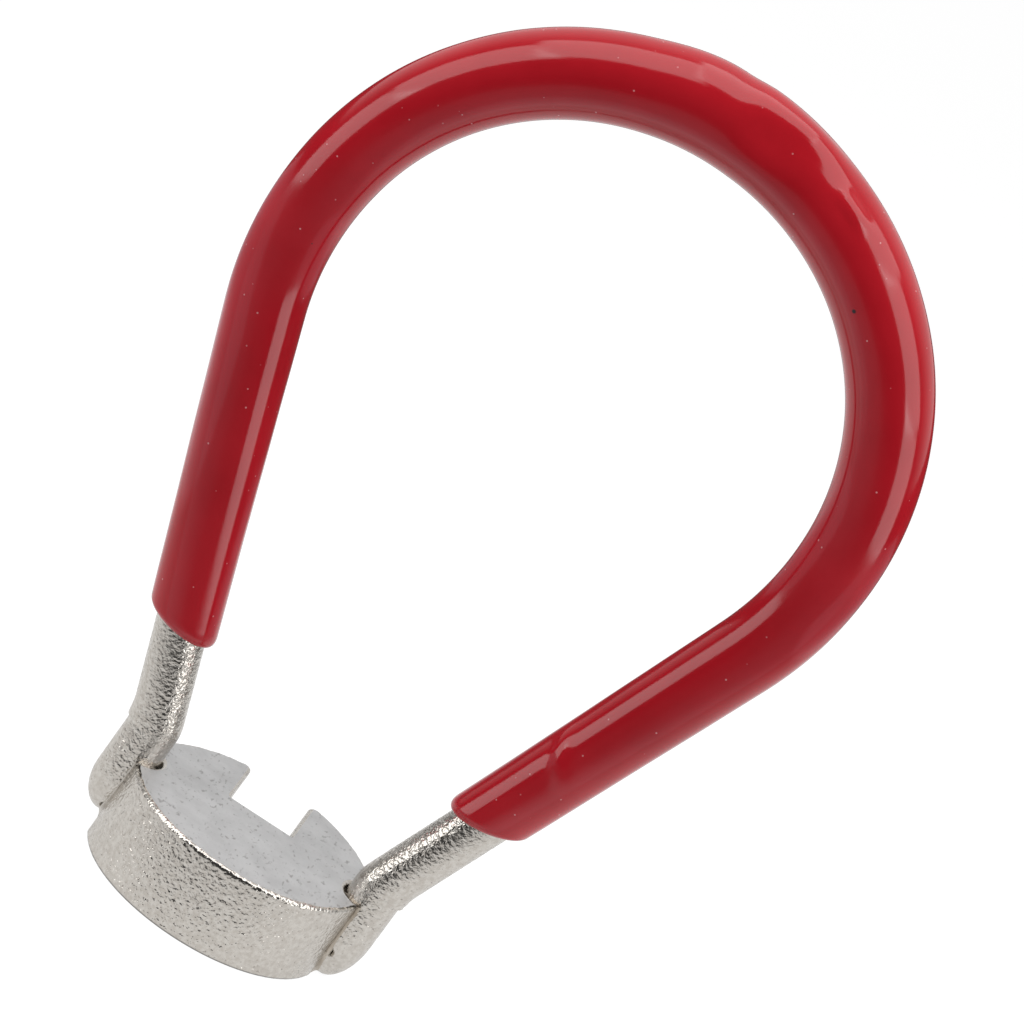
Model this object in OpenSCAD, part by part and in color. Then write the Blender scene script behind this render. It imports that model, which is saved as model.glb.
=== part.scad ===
// Spoke wrench: a slotted round head between the feet of a bent wire hoop with a dipped coat.
// Z is square to the head's two faces, and the origin is the centre of the lower one.
// The hoop stands up from the head, in the XZ plane. The slot for the nipple opens towards +Y.

/* [Head] */
// Diameter of the round head
head_d = 13.3; // [12:0.1:16]
// Thickness of the head, along the spoke
head_t = 4.6; // [3.6:0.1:6]
// Chamfer round the two rims of the head
head_edge = 0.1; // [0.05:0.05:0.3]
// Angle by which the head's axis, and the hoop with it, leans to the right of the square to its faces
axis_lean = 3.2; // [0:0.1:4]

/* [Nipple slot] */
// Width of the slot, across the flats of the nipple
slot_w = 3.45; // [3.1:0.05:4.1]
// Distance of the slot's floor beyond the head's centre
slot_floor = 1.5; // [0.6:0.1:2.6]
// Rounding of the two corners at the slot's mouth
mouth_round = 0.4; // [0.1:0.05:0.6]

/* [Wire hoop] */
// Diameter of the bare wire
wire_d = 2.7; // [2.4:0.05:2.9]
// Distance of each foot's axis outside the head's side
foot_proud = 0.2; // [0:0.05:0.5]
// Height of the right foot's end over the head's lower face
right_foot_lift = 0; // [0:0.05:0.3]
// Height of the left foot's end over the head's lower face
left_foot_lift = 0.9; // [0:0.05:1.2]
// Length over which the right foot is rounded off to its end
right_foot_taper = 2.6; // [0.5:0.1:3]
// Length over which the left foot is rounded off to its end
left_foot_taper = 2.2; // [0.5:0.1:2.4]
// Height of the bends over the head's top face
bend_rise = 1.3; // [1:0.1:2]
// Radius of the bend above each foot, at the wire's centre
bend_r = 1.8; // [1.6:0.1:2.4]
// Angle between each leg and the hoop's axis
leg_splay = 19.7; // [16:0.1:24]
// Radius of the bow's far arc, at the wire's centre
bow_r = 15.3; // [14:0.1:17]
// Radius of the bow's side arcs, at the wire's centre
bow_side_r = 17.2; // [16:0.1:20]
// Angle from the bow's far end to the start of each side arc
bow_far_angle = 79; // [60:1:85]

/* [Braze] */
// Radius of the filler's fillets at the left foot
left_fillet_r = 1.2; // [0.8:0.1:3]
// Radius of the filler's fillets at the right foot
right_fillet_r = 2.4; // [0.8:0.1:3]
// Thickness of the filler between a foot and its seat
braze_film = 0.12; // [0.08:0.01:0.2]
// Distance by which the filler stops short of the head's two faces
braze_inset = 0.15; // [0.1:0.05:0.5]

/* [Vinyl grip] */
// Diameter of the coat at the dip lines
grip_dip_d = 3.65; // [3.3:0.05:4]
// Diameter of the coat at the bow's far end
grip_far_d = 4.65; // [4.2:0.05:5.4]
// Height of the dip lines over the head's top face
dip_rise = 6.8; // [5:0.1:9]
// Slope of the dip lines, down towards the inside of the hoop
dip_slant = 8; // [0:1:12]
// Length of the rounded lip at each end of the coat
lip_len = 0.5; // [0.2:0.1:0.8]
// Height of the sag that the dip left on the outside of the bow
sag_h = 0.2; // [0:0.05:0.4]
// Angle of the sag from the bow's far end, to the left
sag_angle = 9; // [0:1:30]
// Half of the angle of the bow that the sag covers
sag_span = 18; // [12:1:24]

/* [Hidden] */
LEFT = -1;
RIGHT = 1;
$fn = 96;
// Overrun of every cut
cut = 1;
// Length by which an arc of the wire reaches into its neighbours, and how much thinner it is there
lap = 0.1;
lap_step = 0.01;
// Steps round a foot's rounded end
end_steps = 10;
// Gap between the filler and the metal that it joins, and between the coat and the wire
seat_gap = 0.01;
grip_gap = 0.03;
// Facets of the coat: sides of a ring, arc between rings, steps of a leg and steps of a lip
grip_sides = 28;
ring_angle = 4.5;
leg_steps = 7;
lip_steps = 4;
// Share of each leg over which the coat's rings turn from square to the dip line's slope
slant_share = 0.35;

head_r = head_d / 2;
wire_r = wire_d / 2;
foot_x = head_r + foot_proud;
seat_r = wire_r + braze_film;
bend_z = head_t + bend_rise;
dip_z = head_t + dip_rise;

// The hoop is symmetric about the head's axis. A side arc of the bow has its centre beyond that axis,
// and it ends where it runs along the leg. Heights from here on are along the axis.
bow_shift = bow_side_r - bow_r;
leg_top_x = bow_side_r * cos(leg_splay) - bow_shift * sin(bow_far_angle);
leg_len = (leg_top_x - foot_x) / sin(leg_splay);
leg_top_z = bend_z + leg_len * cos(leg_splay);
side_z = leg_top_z + bow_side_r * sin(leg_splay);
bow_z = side_z + bow_shift * cos(bow_far_angle);
side_angle = 90 + leg_splay - bow_far_angle;
bend_cut = bend_r * tan(leg_splay / 2);

// Height along the axis of a place that is level with a height over the lower face
function axis_z(x, level) = (level + x * sin(axis_lean)) / cos(axis_lean);

function foot_lift(side) = side == LEFT ? left_foot_lift : right_foot_lift;
function foot_taper(side) = side == LEFT ? left_foot_taper : right_foot_taper;
function fillet_r(side) = side == LEFT ? left_fillet_r : right_fillet_r;

// What is made along the head's axis leans with it
module leaned() {
    rotate([0, axis_lean, 0])
        children();
}

// Head: a leaning disc between two level chamfered faces, with the slot right through it and a seat
// for the wire down each side
module head() {
    rim_r = head_r - head_edge;
    color([0.74, 0.73, 0.71])
    difference() {
        intersection() {
            leaned()
                translate([0, 0, -cut])
                    cylinder(r = head_r, h = head_t + 2 * cut);
            cylinder(r1 = rim_r, r2 = rim_r + head_t, h = head_t);
            translate([head_t * tan(axis_lean), 0, 0])
                cylinder(r1 = rim_r + head_t, r2 = rim_r, h = head_t);
        }
        leaned() {
            translate([0, 0, -cut])
                linear_extrude(head_t + 2 * cut)
                    slot_outline();
            for (side = [LEFT, RIGHT])
                translate([side * foot_x, 0, -cut])
                    cylinder(r = seat_r, h = head_t + 2 * cut);
        }
    }
}

// The slot in plan: parallel jaws, a flat floor and a mouth with rounded corners
module slot_outline() {
    jaw_x = slot_w / 2;
    round_x = jaw_x + mouth_round;
    round_y = sqrt(pow(head_r - mouth_round, 2) - pow(round_x, 2));
    rim_x = round_x * head_r / (head_r - mouth_round);
    rim_y = round_y * head_r / (head_r - mouth_round);
    translate([-jaw_x, slot_floor])
        square([slot_w, head_r + cut - slot_floor]);
    for (side = [LEFT, RIGHT])
        difference() {
            polygon([
                [0, round_y],
                [side * round_x, round_y],
                [side * rim_x, rim_y],
                [side * rim_x, head_r + cut],
                [0, head_r + cut]
            ]);
            translate([side * round_x, round_y])
                circle(r = mouth_round);
        }
}

// Wire: the bow, two legs, and a bend that turns each leg into its foot
module wire_hoop() {
    color([0.76, 0.74, 0.71])
    leaned()
        union() {
            bow();
            for (side = [LEFT, RIGHT]) {
                leg(side);
                bend(side);
                foot(side, 0);
            }
        }
}

// The bow: a far arc and two side arcs of a larger radius
module bow() {
    translate([0, 0, bow_z])
        wire_arc(bow_r, 90 - bow_far_angle, 2 * bow_far_angle, wire_r);
    for (side = [LEFT, RIGHT])
        translate([-side * bow_shift * sin(bow_far_angle), 0, side_z])
            lapped_arc(bow_side_r, side == RIGHT ? -leg_splay : 90 + bow_far_angle, side_angle);
}

// A stretch of wire along a circle in the XZ plane, from the angle start up from +X
module wire_arc(radius, start, sweep, thick_r) {
    rotate([90, 0, 0])
        rotate([0, 0, start])
            rotate_extrude(angle = sweep)
                translate([radius, 0])
                    circle(r = thick_r);
}

// An arc that reaches into the stretches at both its ends, a hair thinner than they are
module lapped_arc(radius, start, sweep) {
    lap_angle = lap / radius * 180 / PI;
    wire_arc(radius, start - lap_angle, sweep + 2 * lap_angle, wire_r - lap_step);
}

// A straight leg, from the end of its bend to the side arc
module leg(side) {
    translate([side * leg_top_x, 0, leg_top_z])
        rotate([0, 180 + side * leg_splay, 0])
            cylinder(d = wire_d, h = leg_len - bend_cut);
}

// The bend between a foot and its leg, round a centre outside the hoop
module bend(side) {
    translate([side * (foot_x + bend_r), 0, bend_z - bend_cut])
        lapped_arc(bend_r, side == RIGHT ? 180 - leg_splay : 0, leg_splay);
}

// A foot: it runs straight down the head's side and is rounded off to its end, as an ellipse is.
// It can be made thicker all round, for what has to fit it.
module foot(side, extra) {
    radius = wire_r + extra;
    taper = foot_taper(side) + extra;
    end = axis_z(side * foot_x, foot_lift(side)) - extra;
    translate([side * foot_x, 0, end])
        rotate_extrude()
            polygon(concat(
                [for (k = [0 : end_steps])
                    let (a = 90 * k / end_steps)
                    [radius * sin(a), taper * (1 - cos(a))]],
                [[radius, bend_z - bend_cut - end], [0, bend_z - bend_cut - end]]
            ));
}

// Filler: it fills the seat round the foot, and it has a fillet on each side of the foot that
// narrows towards the foot's end
module braze(side) {
    radius = fillet_r(side);
    from_head = head_r + radius;
    from_foot = wire_r + radius;
    centre_x = (pow(from_head, 2) - pow(from_foot, 2) + pow(foot_x, 2)) / (2 * foot_x);
    centre_y = sqrt(pow(from_head, 2) - pow(centre_x, 2));
    on_wall = head_r / from_head;
    reach = norm([centre_x * on_wall - foot_x, centre_y * on_wall]) + lap - wire_r;
    color([0.74, 0.66, 0.55])
    intersection() {
        translate([-head_d, -head_d, braze_inset])
            cube([2 * head_d, 2 * head_d, head_t - 2 * braze_inset]);
        leaned()
            difference() {
                translate([0, 0, -cut])
                    linear_extrude(head_t + 2 * cut)
                        difference() {
                            polygon([
                                [0, 0],
                                [side * centre_x, centre_y],
                                [side * foot_x, 0],
                                [side * centre_x, -centre_y]
                            ]);
                            for (y = [-centre_y, centre_y])
                                translate([side * centre_x, y])
                                    circle(r = radius);
                            difference() {
                                circle(r = head_r + seat_gap);
                                translate([side * foot_x, 0])
                                    circle(r = seat_r - seat_gap);
                            }
                        }
                foot(side, seat_gap);
            }
        leaned()
            translate([0, 0, reach])
                foot(side, reach);
    }
}

module left_braze() {
    braze(LEFT);
}

module right_braze() {
    braze(RIGHT);
}

// Stations of the coat are distances from the bow's far end, along the wire's centre
far_len = bow_r * bow_far_angle * PI / 180;
side_len = bow_side_r * side_angle * PI / 180;

// The dip lines are level with the head's faces, so the leaning legs have coats of two lengths
function leg_angle(side) = leg_splay + side * axis_lean;
function coat_len(side) =
    let (top = leg_top_z * cos(axis_lean) - side * leg_top_x * sin(axis_lean))
    far_len + side_len + (top - dip_z) / cos(leg_angle(side));

// Centre of the wire at a station, on the right: [across, height along the axis]
function wire_point(s) =
    s < far_len ?
        let (a = s / bow_r * 180 / PI)
        [bow_r * sin(a), bow_z + bow_r * cos(a)]
    : s < far_len + side_len ?
        let (a = bow_far_angle + (s - far_len) / bow_side_r * 180 / PI)
        [bow_side_r * sin(a) - bow_shift * sin(bow_far_angle), side_z + bow_side_r * cos(a)]
    :
        let (run = s - far_len - side_len)
        [leg_top_x - run * sin(leg_splay), leg_top_z - run * cos(leg_splay)];

// Angle of the wire's outward side at a station, from the axis
function wire_angle(s) =
    s < far_len ? s / bow_r * 180 / PI
    : s < far_len + side_len ? bow_far_angle + (s - far_len) / bow_side_r * 180 / PI
    : 90 + leg_splay;

// Outer radius of the coat, which swells evenly from the dip lines to the far end
function coat_r(side, s) =
    (grip_dip_d + (grip_far_d - grip_dip_d) * max(0, 1 - s / coat_len(side))) / 2;

// The sag swells the outside of the bow round its place
function sag(side, s, around) =
    let (off = side * s / bow_r * 180 / PI + sag_angle, facing = max(0, cos(around)))
    abs(off) < sag_span ? sag_h * pow(cos(90 * off / sag_span), 2) * pow(facing, 2) : 0;

// Share of the dip line's slope that a ring has at a station
function slant(side, s) =
    let (leg = coat_len(side) - far_len - side_len, left = coat_len(side) - s)
    pow(max(0, 1 - left / (slant_share * leg)), 2);

// One ring of points round the wire, with the radius that each point has
function ring(side, s, radii) =
    let (
        centre = [side * wire_point(s)[0], wire_point(s)[1]],
        facing = side * wire_angle(s),
        out = [sin(facing), cos(facing)],
        along = side * [-cos(facing), sin(facing)],
        slope = slant(side, s) * tan(leg_angle(side) + dip_slant)
    )
    [for (k = [0 : grip_sides - 1])
        let (
            around = 360 * k / grip_sides,
            across = radii[k] * cos(around),
            p = centre + across * (out + slope * along)
        )
        [p[0], radii[k] * sin(around), p[1]]];

// Stations from the far end to a dip line: round the bow, then down the leg
function stations(side) =
    let (
        arc = bow_far_angle + side_angle,
        arc_steps = ceil(arc / ring_angle),
        leg = coat_len(side) - lip_len - far_len - side_len
    )
    concat(
        [for (k = [0 : arc_steps - 1]) (far_len + side_len) * k / arc_steps],
        [for (k = [0 : leg_steps]) far_len + side_len + leg * k / leg_steps]
    );

// Rings of the coat's outside on one side, from the far end to the edge of the lip
function outer_rings(side) = concat(
    [for (s = stations(side))
        ring(side, s, [for (k = [0 : grip_sides - 1])
            coat_r(side, s) + sag(side, s, 360 * k / grip_sides)])],
    [for (k = [1 : lip_steps - 1])
        let (a = 90 * k / lip_steps, s = coat_len(side) - lip_len * (1 - sin(a)))
        ring(side, s, same(bore_r + (coat_r(side, s) - bore_r) * cos(a)))]
);

// Rings of the coat's bore on one side, from the far end to the edge of the lip
function bore_rings(side) = concat(
    [for (s = stations(side)) ring(side, s, same(bore_r))],
    [ring(side, coat_len(side), same(bore_r))]
);

bore_r = (wire_r + grip_gap) / cos(180 / grip_sides);
function same(radius) = [for (k = [0 : grip_sides - 1]) radius];
function reversed(list) = [for (k = [len(list) - 1 : -1 : 0]) list[k]];
function without_first(list) = [for (k = [1 : len(list) - 1]) list[k]];
function without_last(list) = [for (k = [0 : len(list) - 2]) list[k]];

// Coat: the outside runs from lip to lip, the bore runs back, and the rings close on each other
module vinyl_grip() {
    rings = concat(
        reversed(without_first(outer_rings(LEFT))),
        outer_rings(RIGHT),
        reversed(bore_rings(RIGHT)),
        without_first(bore_rings(LEFT))
    );
    count = len(rings);
    points = [for (r = rings) for (p = r) p];
    faces = [
        for (i = [0 : count - 1])
            for (k = [0 : grip_sides - 1])
                let (
                    here = i * grip_sides,
                    next = ((i + 1) % count) * grip_sides,
                    turn = (k + 1) % grip_sides
                )
                each [
                    [here + k, next + k, next + turn],
                    [here + k, next + turn, here + turn]
                ]
    ];
    color([0.72, 0.05, 0.11])
    leaned()
        polyhedron(points, faces);
}

head();
wire_hoop();
left_braze();
right_braze();
vinyl_grip();
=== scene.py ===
"""Spoke wrench: its finish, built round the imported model, with the studio and the camera.

The objects are in metres. The shapes are worked out in millimetres and scaled by MM when a mesh is made.
Z is square to the head's faces, the hoop lies in the XZ plane and the slot opens towards +Y.
The head's axis and the hoop lean a little to the right.
"""
import math

import bpy
import numpy as np
from mathutils import Matrix, Vector, noise
from mathutils.geometry import delaunay_2d_cdt, tessellate_polygon


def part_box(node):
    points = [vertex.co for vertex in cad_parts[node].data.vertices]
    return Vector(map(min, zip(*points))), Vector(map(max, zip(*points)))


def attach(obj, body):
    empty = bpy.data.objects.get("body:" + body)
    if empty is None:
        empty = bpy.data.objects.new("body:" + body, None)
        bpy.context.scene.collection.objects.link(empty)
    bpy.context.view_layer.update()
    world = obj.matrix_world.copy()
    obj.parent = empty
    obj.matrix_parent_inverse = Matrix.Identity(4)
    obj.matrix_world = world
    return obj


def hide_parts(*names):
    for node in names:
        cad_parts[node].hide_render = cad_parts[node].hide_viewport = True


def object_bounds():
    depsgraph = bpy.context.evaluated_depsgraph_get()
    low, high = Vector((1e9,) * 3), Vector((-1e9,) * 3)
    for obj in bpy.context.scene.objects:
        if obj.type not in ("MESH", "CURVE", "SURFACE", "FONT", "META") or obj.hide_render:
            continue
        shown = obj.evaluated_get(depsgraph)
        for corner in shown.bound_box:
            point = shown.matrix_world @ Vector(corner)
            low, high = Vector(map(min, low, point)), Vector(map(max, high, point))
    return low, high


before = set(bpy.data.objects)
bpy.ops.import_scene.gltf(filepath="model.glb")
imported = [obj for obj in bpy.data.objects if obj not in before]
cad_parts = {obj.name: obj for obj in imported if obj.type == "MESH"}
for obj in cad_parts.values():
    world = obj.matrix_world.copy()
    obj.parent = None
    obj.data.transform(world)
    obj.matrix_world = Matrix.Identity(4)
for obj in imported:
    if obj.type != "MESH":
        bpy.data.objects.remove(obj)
cad_low, cad_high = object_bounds()

# A millimetre in metres, the signs of the two sides, and the direction towards the front
MM = 0.001
LEFT, RIGHT = -1, 1
FRONT = np.array([0.0, -1.0, 0.0])

# Sizes of the metal, in millimetres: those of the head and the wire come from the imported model.
# The fillets are the small ones that the photo shows.
HEAD_R = -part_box("head")[0].y / MM
HEAD_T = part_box("head")[1].z / MM
WIRE_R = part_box("wire_hoop")[1].y / MM
HEAD_EDGE = 0.1
SLOT_W = 3.45
SLOT_FLOOR = 1.5
MOUTH_ROUND = 0.4
SEAT_R = WIRE_R + 0.12
FOOT_X = HEAD_R + 0.2
FOOT_LIFT = {LEFT: 0.9, RIGHT: 0.0}
FOOT_TAPER = {LEFT: 2.2, RIGHT: 2.6}
FILLET_R = {LEFT: 0.12, RIGHT: 0.25}
BEND_RISE = 1.3
BEND_R = 1.8

# Sizes of the hoop, in millimetres, and its angles. The bow has one radius round its far end and a
# larger one at its sides, and they meet at the angle BOW_FAR from the far end.
AXIS_LEAN = math.radians(3.2)
LEG_SPLAY = math.radians(19.7)
BOW_R = 15.3
BOW_SIDE_R = 17.2
BOW_FAR = math.radians(79)

# Sizes of the coat, in millimetres, and the slope of its dip lines. Its two radii are a hair under
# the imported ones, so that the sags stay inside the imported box.
DIP_R = 3.64 / 2
FAR_R = 4.64 / 2
DIP_RISE = 6.8
DIP_SLANT = math.radians(8)
LIP_LEN = 0.5
COAT_GAP = 0.03

BEND_Z = HEAD_T + BEND_RISE
DIP_Z = HEAD_T + DIP_RISE
BEND_CUT = BEND_R * math.tan(LEG_SPLAY / 2)
BOW_SHIFT = BOW_SIDE_R - BOW_R
LEG_TOP_X = BOW_SIDE_R * math.cos(LEG_SPLAY) - BOW_SHIFT * math.sin(BOW_FAR)
LEG_LEN = (LEG_TOP_X - FOOT_X) / math.sin(LEG_SPLAY)
LEG_TOP_Z = BEND_Z + LEG_LEN * math.cos(LEG_SPLAY)
SIDE_Z = LEG_TOP_Z + BOW_SIDE_R * math.sin(LEG_SPLAY)
BOW_Z = SIDE_Z + BOW_SHIFT * math.cos(BOW_FAR)

# Stations are distances along the wire's centre from the bow's far end
FAR_LEN = BOW_R * BOW_FAR
ARC_LEN = FAR_LEN + BOW_SIDE_R * (math.pi / 2 + LEG_SPLAY - BOW_FAR)
LEG_END = ARC_LEN + LEG_LEN - BEND_CUT
FOOT_START = LEG_END + BEND_R * LEG_SPLAY


def leaned(x, y, h):
    """A place that is given across, in depth and in height along the head's axis."""
    return np.array([
        x * math.cos(AXIS_LEAN) + h * math.sin(AXIS_LEAN),
        y,
        h * math.cos(AXIS_LEAN) - x * math.sin(AXIS_LEAN),
    ])


def axis_height(x, level):
    """Height along the axis of a place that is level with a height over the lower face."""
    return (level + x * math.sin(AXIS_LEAN)) / math.cos(AXIS_LEAN)


def foot_end(side):
    return axis_height(side * FOOT_X, FOOT_LIFT[side])


def wire_len(side):
    """Station of a foot's end."""
    return FOOT_START + BEND_Z - BEND_CUT - foot_end(side)


def leg_angle(side):
    return LEG_SPLAY + side * AXIS_LEAN


def coat_len(side):
    """Station of a dip line at the wire's centre."""
    top = leaned(side * LEG_TOP_X, 0.0, LEG_TOP_Z)[2]
    return ARC_LEN + (top - DIP_Z) / math.cos(leg_angle(side))


def centre_line(side, s):
    """Centre of the wire and its outward direction at a station."""
    if s < FAR_LEN:
        angle = s / BOW_R
        x, h = BOW_R * math.sin(angle), BOW_Z + BOW_R * math.cos(angle)
    elif s < ARC_LEN:
        angle = BOW_FAR + (s - FAR_LEN) / BOW_SIDE_R
        x = BOW_SIDE_R * math.sin(angle) - BOW_SHIFT * math.sin(BOW_FAR)
        h = SIDE_Z + BOW_SIDE_R * math.cos(angle)
    elif s < LEG_END:
        angle = math.pi / 2 + LEG_SPLAY
        run = s - ARC_LEN
        x, h = LEG_TOP_X - run * math.sin(LEG_SPLAY), LEG_TOP_Z - run * math.cos(LEG_SPLAY)
    elif s < FOOT_START:
        angle = math.pi / 2 + LEG_SPLAY - (s - LEG_END) / BEND_R
        x = FOOT_X + BEND_R - BEND_R * math.sin(angle)
        h = BEND_Z - BEND_CUT - BEND_R * math.cos(angle)
    else:
        angle = math.pi / 2
        x, h = FOOT_X, BEND_Z - BEND_CUT - (s - FOOT_START)
    facing = side * angle + AXIS_LEAN
    return leaned(side * x, 0.0, h), np.array([math.sin(facing), 0.0, math.cos(facing)])


def along_wire(side, outward):
    """Direction of the wire towards its foot, from its outward direction."""
    return side * np.array([outward[2], 0.0, -outward[0]])


def surface_point(side, s, around, radius):
    """A point on a tube round the wire: around is 0 on the outside and a quarter turn at the front."""
    centre, outward = centre_line(side, s)
    return centre + radius * (math.cos(around) * outward + math.sin(around) * FRONT)


def smooth_bump(x):
    """1 at zero, falling smoothly to 0 at 1 and beyond."""
    return np.square(np.maximum(0.0, 1.0 - np.square(x)))


def turn_between(a, b):
    """Smallest angle from b to a."""
    return (a - b + math.pi) % (2 * math.pi) - math.pi


# How fast the finer octaves of a grain fall off, and how much finer each one is
GRAIN_FALL = 0.9
GRAIN_FINER = 2.0


def grain(points, size, octaves=2):
    """Smooth noise of about -1 to 1 at each point, with features of the given size."""
    values = [noise.fractal(Vector(p / size), GRAIN_FALL, GRAIN_FINER, octaves) for p in points]
    return np.array(values)


def piece_from(name, points, faces, smooth=True):
    """A mesh object in metres from points in millimetres."""
    mesh = bpy.data.meshes.new(name)
    mesh.from_pydata([tuple(p) for p in np.asarray(points) * MM], [], faces)
    mesh.validate()
    mesh.update()
    mesh.polygons.foreach_set("use_smooth", [smooth] * len(mesh.polygons))
    piece = bpy.data.objects.new(name, mesh)
    bpy.context.scene.collection.objects.link(piece)
    return piece


def band_faces(rings, sides, closed=False):
    """Quads between rings of points that follow each other."""
    faces = []
    for i in range(rings if closed else rings - 1):
        here, there = i * sides, (i + 1) % rings * sides
        for k in range(sides):
            turn = (k + 1) % sides
            faces.append((here + k, here + turn, there + turn, there + k))
    return faces


# Coat

# Points round the coat, the spacing of its rings and the number of them in its lip's rounding
COAT_SIDES = 112
COAT_STEP = 0.24
LIP_STEPS = 8
# Share of a leg over which the rings turn to the slope of its dip line
SLANT_SHARE = 0.35

# Sags and a dent that the draining dip left: signed station from the far end, its lengths to the left
# and to the right of it, angle round the wire, half of its angle, and its height
SAGS = (
    (-2.8, 3.4, 2.2, math.radians(10), math.radians(95), 0.15),
    (-0.4, 1.3, 5.6, math.radians(16), math.radians(58), 0.185),
    (0.3, 1.8, 3.2, math.radians(66), math.radians(42), -0.20),
    (2.4, 2.6, 2.4, math.radians(24), math.radians(28), 0.13),
    (5.2, 1.2, 1.8, math.radians(50), math.radians(17), 0.15),
    (-25.0, 5.0, 5.0, math.radians(120), math.radians(60), 0.03),
)
# A pinch across the right leg: where it is along the wire and round it, half of its width, half of
# its angle, its height, and how far it runs along the wire for each radian
PINCH_AT = 40.5
PINCH_AROUND = math.radians(118)
PINCH_WIDTH = 0.75
PINCH_ANGLE = math.radians(52)
PINCH_HEIGHT = 0.10
PINCH_LEAD = 1.1
# Slow waves of the coat's surface
WAVE_SIZE = 5.0
WAVE_HEIGHT = 0.012


def coat_radius(side, s):
    share = max(0.0, 1.0 - s / coat_len(side))
    return DIP_R + (FAR_R - DIP_R) * share


def coat_flow(side, s, around):
    """Height of the sags and the pinch over the coat's plain radius."""
    station = side * s
    height = np.zeros_like(around)
    for at, before, after, angle, half_angle, top in SAGS:
        along = smooth_bump((station - at) / (before if station < at else after))
        height += top * along * smooth_bump(turn_between(around, angle) / half_angle)
    off = turn_between(around, PINCH_AROUND)
    ridge = (station - PINCH_AT + PINCH_LEAD * off) / PINCH_WIDTH
    height += PINCH_HEIGHT * smooth_bump(ridge) * smooth_bump(off / PINCH_ANGLE)
    return height


def slope_of(side, s):
    """Slope of a ring against the square: none on the bow, the dip line's at the lip."""
    left = coat_len(side) - s
    turned = max(0.0, 1.0 - left / (SLANT_SHARE * (coat_len(side) - ARC_LEN))) ** 2
    return turned * math.tan(leg_angle(side) + DIP_SLANT)


def coat_ring(side, s, radii):
    centre, outward = centre_line(side, s)
    along = along_wire(side, outward)
    around = np.arange(len(radii)) * 2 * math.pi / len(radii)
    across = radii * np.cos(around)
    lean = outward - slope_of(side, s) * along
    return centre + across[:, None] * lean + (radii * np.sin(around))[:, None] * FRONT


def coat_rings(side):
    """Outside rings from the far end to the lip, then the bore's ring at the lip and back."""
    around = np.arange(COAT_SIDES) * 2 * math.pi / COAT_SIDES
    bore = WIRE_R + COAT_GAP
    length = coat_len(side)
    count = math.ceil((length - LIP_LEN) / COAT_STEP)
    outside, inside = [], []
    for k in range(count + 1):
        s = (length - LIP_LEN) * k / count
        ring = coat_ring(side, s, coat_radius(side, s) + coat_flow(side, s, around))
        centre = centre_line(side, s)[0]
        wave = 1.0 + WAVE_HEIGHT / FAR_R * grain(ring, WAVE_SIZE)
        outside.append(centre + (ring - centre) * wave[:, None])
        inside.append(coat_ring(side, s, np.full(COAT_SIDES, bore)))
    for k in range(1, LIP_STEPS):
        angle = math.pi / 2 * k / LIP_STEPS
        s = length - LIP_LEN * (1 - math.sin(angle))
        radius = bore + (coat_radius(side, s) - bore) * math.cos(angle)
        outside.append(coat_ring(side, s, np.full(COAT_SIDES, radius)))
    inside.append(coat_ring(side, length, np.full(COAT_SIDES, bore)))
    return outside, inside


def make_coat():
    left_out, left_in = coat_rings(LEFT)
    right_out, right_in = coat_rings(RIGHT)
    rings = left_out[:0:-1] + right_out + right_in[::-1] + left_in[1:]
    points = np.concatenate(rings)
    faces = band_faces(len(rings), COAT_SIDES, closed=True)
    return piece_from("dipped_coat", points, faces)


# Wire

# Points round the wire, and the spacing of its rings where it is bare and inside the coat
WIRE_SIDES = 150
FINE_STEP = 0.055
COARSE_STEP = 0.6
# Length inside the coat over which the fine rings go on and the crinkle dies away
HIDDEN_LAP = 1.5
# Rings of a foot's rounded end, with its tip counted as one
END_RINGS = 52

# The crinkle of the plating: the size of its grains, how much finer its second noise is and where in
# space that is taken, the shares of the two, the level at which grains are cut flat, and the depths
CRINKLE_SIZE = 0.20
FINE_RATIO = 2.1
FINE_OFFSET = 31.0
ROUGH_SHARE = 0.75
FINE_SHARE = 0.45
GRAIN_TOP = 0.5
WIRE_CRINKLE = 0.016
WALL_CRINKLE = 0.027

# A small fold on the tight side of each bend, which faces away from the other leg: where it is along
# the wire, its height and half of its angle
FOLD_FROM = LEG_END - 0.9
FOLD_AT = LEG_END + 0.25
FOLD_TO = LEG_END + 0.60
FOLD_HEIGHT = 0.14
FOLD_ANGLE = math.radians(80)

# A pit in each foot: side, distance from the foot's end, angle round the wire, radius and depth
PITS = (
    (RIGHT, 1.65, math.radians(98), 0.30, 0.14),
    (LEFT, 0.55, math.radians(100), 0.26, 0.10),
)


def crinkle(points):
    """Shallow rounded dents between raised grains, as plating over a shot surface has."""
    rough = grain(points, CRINKLE_SIZE)
    fine = grain(points + FINE_OFFSET, CRINKLE_SIZE / FINE_RATIO, 1)
    return np.clip(ROUGH_SHARE * rough + FINE_SHARE * fine, -1.0, GRAIN_TOP) - GRAIN_TOP


def rise(value, start, end):
    """0 up to the start, 1 from the end on, and smooth between them."""
    share = np.clip((value - start) / (end - start), 0.0, 1.0)
    return share * share * (3 - 2 * share)


def end_share(side, s):
    """Share of the wire's radius that a foot has where it is rounded off to its end."""
    left = max(0.0, wire_len(side) - s)
    return math.sqrt(max(0.0, 1.0 - max(0.0, 1.0 - left / FOOT_TAPER[side]) ** 2))


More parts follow.
